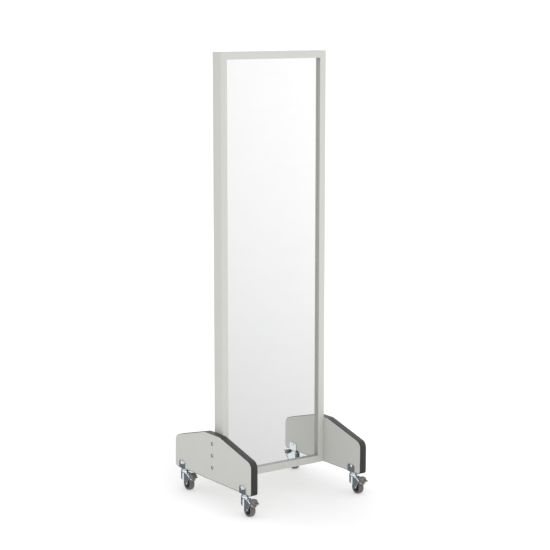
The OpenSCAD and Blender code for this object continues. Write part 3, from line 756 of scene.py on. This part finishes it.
def axles():
    shank = [(0.0, -14.6), (2.2, -14.6), (2.8, -14.4), (3.2, -14.0), (3.3, -13.4), (3.0, -13.3), (3.0, -11.4), (4.0, -11.4), (4.0, 11.4), (3.0, 11.4), (3.0, 16.9), (2.6, 17.4), (0.0, 17.4)]
    rivet = [(0.0, -13.75), (1.5, -13.75), (1.9, -13.6), (2.0, -13.3), (2.0, 13.3), (1.9, 13.6), (1.5, 13.75), (0.0, 13.75)]
    for c, (x, y, _) in SWIVEL.items():
        at = (x, y - TRAIL * MM, (Z0 + AXLE_Z) * MM)
        v, f = lathe(shank, (0, 0), 64)
        obj = build(c + "_axle_bolt", v, f, [M["zinc_steel"]], at, angle=40)
        settle(obj, c + "_swivel", "zinc_steel", c + "_axle")
        v, f = hexagon(5.4, 13.5, 16.7, 0.7)
        obj = soften(build(c + "_axle_nut", v, f, [M["zinc_steel"]], at, angle=25), 0.2)
        settle(obj, c + "_swivel", "zinc_steel", c + "_axle")
        v, f = lathe(rivet, (0, 0), 48)
        obj = build(c + "_pivot_rivet", v, f, [M["zinc_steel"]], (x, y - 27.5 * MM, (Z0 - 22.5) * MM), angle=40)
        settle(obj, c + "_swivel", "zinc_steel", c + "_brake_pin")


def bracket_screws():
    # Low round heads with a small round recess, on the panels' inner sides
    head = [(0.0, 1.4), (1.0, 1.4), (1.1, 1.5), (1.15, 3.1)] + [(5.8 * math.cos(math.radians(a)), 3.2 * math.sin(math.radians(a))) for a in range(78, -1, -6)] + [(5.8, -0.3), (3.0, -0.4), (3.0, -37.5), (0.0, -37.5)]
    for c, (x, y, _) in SWIVEL.items():
        s = 1 if x < 0 else -1
        v, f = lathe([(r, s * d) for r, d in head], (0, 0), 64)
        obj = build(c + "_bracket_screw", v, f, [M["zinc_steel"]], (x + s * 16.75 * MM, y, (Z0 + 22.5) * MM), angle=40)
        settle(obj, "root", "zinc_steel", "bracket_bolts")


def panel_bolts():
    """Sunk socket screws, each in a dark turned cup set in the panel's face; the dark cup is painted shade for the
    shadowed recess round the head.
    """
    cup = [(5.3, 4.4), (5.3, 1.1), (5.5, 0.75), (6.5, 0.1), (6.9, -0.12), (7.2, -0.14), (7.35, -0.04), (7.35, 0.0), (5.9, 0.02), (5.9, 4.4)]
    head = [(2.9, 3.2), (2.9, 1.35), (3.1, 1.2), (4.5, 1.2), (4.95, 1.35), (5.15, 1.75), (5.2, 2.3), (5.2, 4.5), (3.0, 4.5), (3.0, 39.9), (2.6, 40.2), (0.0, 40.2), (0.0, 3.2)]
    for side, s in (("left", -1), ("right", 1)):
        for i, n in ((-1, "low"), (0, "mid"), (1, "top")):
            at = (s * (FOOT_X + 14.25) * MM, FOOT_Y * MM, (Z0 + 95.9 + 46.5 * i) * MM)
            v, f = lathe([(r, -s * d) for r, d in cup], (0, 0), 64)
            obj = build(side + "_bolt_shade_cup_" + n, v, f, [M["bolt_recess_shade"]], at, angle=40)
            settle(obj, "root", "zinc_steel", "side_panel_bolts")
            v, f = lathe([(r, -s * d) for r, d in head], (0, 0), 48)
            obj = build(side + "_panel_screw_" + n, v, f, [M["zinc_steel"]], at, angle=40)
            settle(obj, "root", "zinc_steel", "side_panel_bolts")


def cap_nuts():
    dome = [(0.0, 3.0), (6.3, 3.0), (6.3, 6.0), (6.1, 7.1), (5.6, 8.0), (4.8, 8.65), (3.9, 8.95), (0.0, 9.0)]
    for c, (x, y, _) in SWIVEL.items():
        s = -1 if x < 0 else 1
        at = (x + s * 16.75 * MM, y, (Z0 + 22.5) * MM)
        v, f = lathe([(r, s * d) for r, d in dome], (0, 0), 64)
        obj = build(c + "_nut_dome", v, f, [M["zinc_steel"]], at, angle=40)
        settle(obj, "root", "zinc_steel", "bracket_cap_nuts")
        v, f = hexagon(9.3, 0.0, s * 5.0, 0.7)
        obj = soften(build(c + "_nut_flats", v, f, [M["zinc_steel"]], at, angle=25), 0.25)
        settle(obj, "root", "zinc_steel", "bracket_cap_nuts")


frame_rails()
edge_bands()
brackets()
forks()
leg_hems()
wheels()
pedals()
levers()
axles()
bracket_screws()
panel_bolts()
cap_nuts()

# ------------------------------------------------------------------ stage


def stage_floor():
    mesh = bpy.data.meshes.new("studio_floor")
    r = 40.0
    mesh.from_pydata([(-r, -r, 0), (r, -r, 0), (r, r, 0), (-r, r, 0)], [], [(0, 1, 2, 3)])
    floor = bpy.data.objects.new("studio_floor", mesh)
    bpy.context.scene.collection.objects.link(floor)
    mat = bpy.data.materials.new("pale_floor")
    mat.use_nodes = True
    b = mat.node_tree.nodes["Principled BSDF"]
    b.inputs["Roughness"].default_value = 0.9
    b.inputs["Specular IOR Level"].default_value = 0.0
    b.inputs["Emission Color"].default_value = (1, 1, 1, 1)
    # The object takes light from the floor beneath it. Round the object the floor is darker and glows less, a painted
    # shadow that is deeper for the light it sends than as the camera sees it.
    nt = mat.node_tree
    sep = nt.nodes.new("ShaderNodeSeparateXYZ")
    nt.links.new(nt.nodes.new("ShaderNodeTexCoord").outputs["Object"], sep.inputs[0])

    def node(kind, out=0, **values):
        n = nt.nodes.new(kind)
        for key, v in values.items():
            if key in ("operation", "data_type", "interpolation_type"):
                setattr(n, key, v)
        return n

    def op(name, a, b2=None):
        n = node("ShaderNodeMath", operation=name)
        for i, v in enumerate((a, b2)):
            if isinstance(v, bpy.types.NodeSocket):
                nt.links.new(v, n.inputs[i])
            elif v is not None:
                n.inputs[i].default_value = v
        return n.outputs[0]

    def between(value, lo, hi, a, c):
        n = node("ShaderNodeMapRange", interpolation_type="SMOOTHSTEP")
        nt.links.new(value, n.inputs["Value"])
        for key, v in (("From Min", lo), ("From Max", hi), ("To Min", a), ("To Max", c)):
            if isinstance(v, bpy.types.NodeSocket):
                nt.links.new(v, n.inputs[key])
            else:
                n.inputs[key].default_value = v
        return n.outputs["Result"]

    far = op("SQRT", op("ADD", op("POWER", op("DIVIDE", sep.outputs[0], 0.30), 2.0), op("POWER", op("DIVIDE", sep.outputs[1], 0.60), 2.0)))
    seen = nt.nodes.new("ShaderNodeLightPath").outputs["Is Camera Ray"]
    # Painted shadow: the floor's colour and glow fall off inside the oval round the object.
    tone = between(far, 0.3, 1.35, between(seen, 0.0, 1.0, 0.58, 0.82), 0.82)
    glow = between(far, 0.3, 1.9, between(seen, 0.0, 1.0, 0.28, 0.24), 0.45)
    grey = nt.nodes.new("ShaderNodeCombineColor")
    for i in range(3):
        nt.links.new(tone, grey.inputs[i])
    nt.links.new(grey.outputs[0], b.inputs["Base Color"])
    nt.links.new(glow, b.inputs["Emission Strength"])
    mesh.materials.append(mat)
    floor.visible_glossy = False
    return floor


def studio_world():
    """Soft light from all round. Reflections see a studio whose far end is dark up to about the object's height."""
    world = bpy.data.worlds.new("studio")
    bpy.context.scene.world = world
    world.use_nodes = True
    nt = world.node_tree
    nt.nodes.clear()

    def math_node(op, a, b=None, c=None, clamp=False):
        n = nt.nodes.new("ShaderNodeMath")
        n.operation = op
        n.use_clamp = clamp
        for i, v in enumerate((a, b, c)):
            if isinstance(v, bpy.types.NodeSocket):
                nt.links.new(v, n.inputs[i])
            elif v is not None:
                n.inputs[i].default_value = v
        return n.outputs[0]

    def smooth(value, a, b, lo, hi):
        n = nt.nodes.new("ShaderNodeMapRange")
        n.interpolation_type = "SMOOTHSTEP"
        nt.links.new(value, n.inputs["Value"])
        for key, v in (("From Min", a), ("From Max", b), ("To Min", lo), ("To Max", hi)):
            n.inputs[key].default_value = v
        return n.outputs["Result"]

    def lerp(f, a, b):
        n = nt.nodes.new("ShaderNodeMix")
        n.data_type = "FLOAT"
        for key, v in (("Factor", f), ("A", a), ("B", b)):
            s = [x for x in n.inputs if x.name == key and x.enabled][0]
            if isinstance(v, bpy.types.NodeSocket):
                nt.links.new(v, s)
            else:
                s.default_value = v
        return [x for x in n.outputs if x.enabled][0]

    sep = nt.nodes.new("ShaderNodeSeparateXYZ")
    nt.links.new(nt.nodes.new("ShaderNodeTexCoord").outputs["Generated"], sep.inputs[0])
    x, y, z = sep.outputs
    # Along the direction that the front glass sends the main view to, and across it
    ahead = math_node("ADD", math_node("MULTIPLY", x, 0.577), math_node("MULTIPLY", y, -0.816))
    across = math_node("ADD", math_node("MULTIPLY", x, 0.816), math_node("MULTIPLY", y, 0.577))
    # Diffuse light
    soft = math_node("ADD", math_node("MULTIPLY", y, -0.12), math_node("MULTIPLY", x, 0.05))
    soft = math_node("ADD", soft, math_node("MULTIPLY", z, -0.06))
    soft = math_node("ADD", soft, 0.92)
    # Reflections
    falloff = math_node("SUBTRACT", 1.08, math_node("MULTIPLY", math_node("MULTIPLY", z, z), 4.1))
    falloff = math_node("MULTIPLY", falloff, math_node("ADD", 1.0, math_node("MULTIPLY", across, 1.2)))
    falloff = math_node("MAXIMUM", falloff, 0.3)
    below = smooth(z, -0.02, 0.02, 1.0, 0.0)
    bright = lerp(smooth(z, 0.1, 0.5, 0.0, 1.0), 1.05, 1.15)
    gloss = lerp(math_node("MULTIPLY", smooth(ahead, 0.55, 0.85, 0.0, 1.0), below), bright, falloff)
    high = math_node("MULTIPLY", smooth(z, 0.18, 0.42, 1.0, 0.0), smooth(x, 0.2, 0.45, 1.0, 0.0))
    dark = math_node("MULTIPLY", smooth(y, 0.35, 0.65, 0.0, 1.0), math_node("MAXIMUM", high, smooth(z, -0.02, 0.13, 1.0, 0.0)))
    dark = math_node("MAXIMUM", dark, math_node("MULTIPLY", smooth(z, -0.7, -0.4, 1.0, 0.0), smooth(y, -0.1, 0.1, 0.0, 1.0)))
    gloss = lerp(dark, gloss, smooth(x, 0.0, 0.45, 0.18, 0.05))
    path = nt.nodes.new("ShaderNodeLightPath")
    value = lerp(path.outputs["Is Glossy Ray"], soft, gloss)
    value = lerp(path.outputs["Is Camera Ray"], value, 1.1)
    bg = nt.nodes.new("ShaderNodeBackground")
    nt.links.new(value, bg.inputs["Color"])
    out = nt.nodes.new("ShaderNodeOutputWorld")
    nt.links.new(bg.outputs[0], out.inputs["Surface"])


def camera():
    yaw, pitch, roll = (math.radians(a) for a in (35.271, 9.306, 0.033))
    fwd = Vector((math.sin(yaw) * math.cos(pitch), math.cos(yaw) * math.cos(pitch), -math.sin(pitch)))
    right = Vector((math.cos(yaw), -math.sin(yaw), 0))
    up = right.cross(fwd)
    right, up = right * math.cos(roll) + up * math.sin(roll), up * math.cos(roll) - right * math.sin(roll)
    data = bpy.data.cameras.new("camera")
    data.lens = 106.02
    data.sensor_width = 36.0
    data.clip_end = 200
    cam = bpy.data.objects.new("camera", data)
    bpy.context.scene.collection.objects.link(cam)
    cam.matrix_world = Matrix.Translation((-3.4798, -4.93815, 1.8343)) @ Matrix((right, up, -fwd)).transposed().to_4x4()
    bpy.context.scene.camera = cam


stage_floor()
studio_world()
camera()
bpy.context.scene.view_settings.view_transform = "Standard"
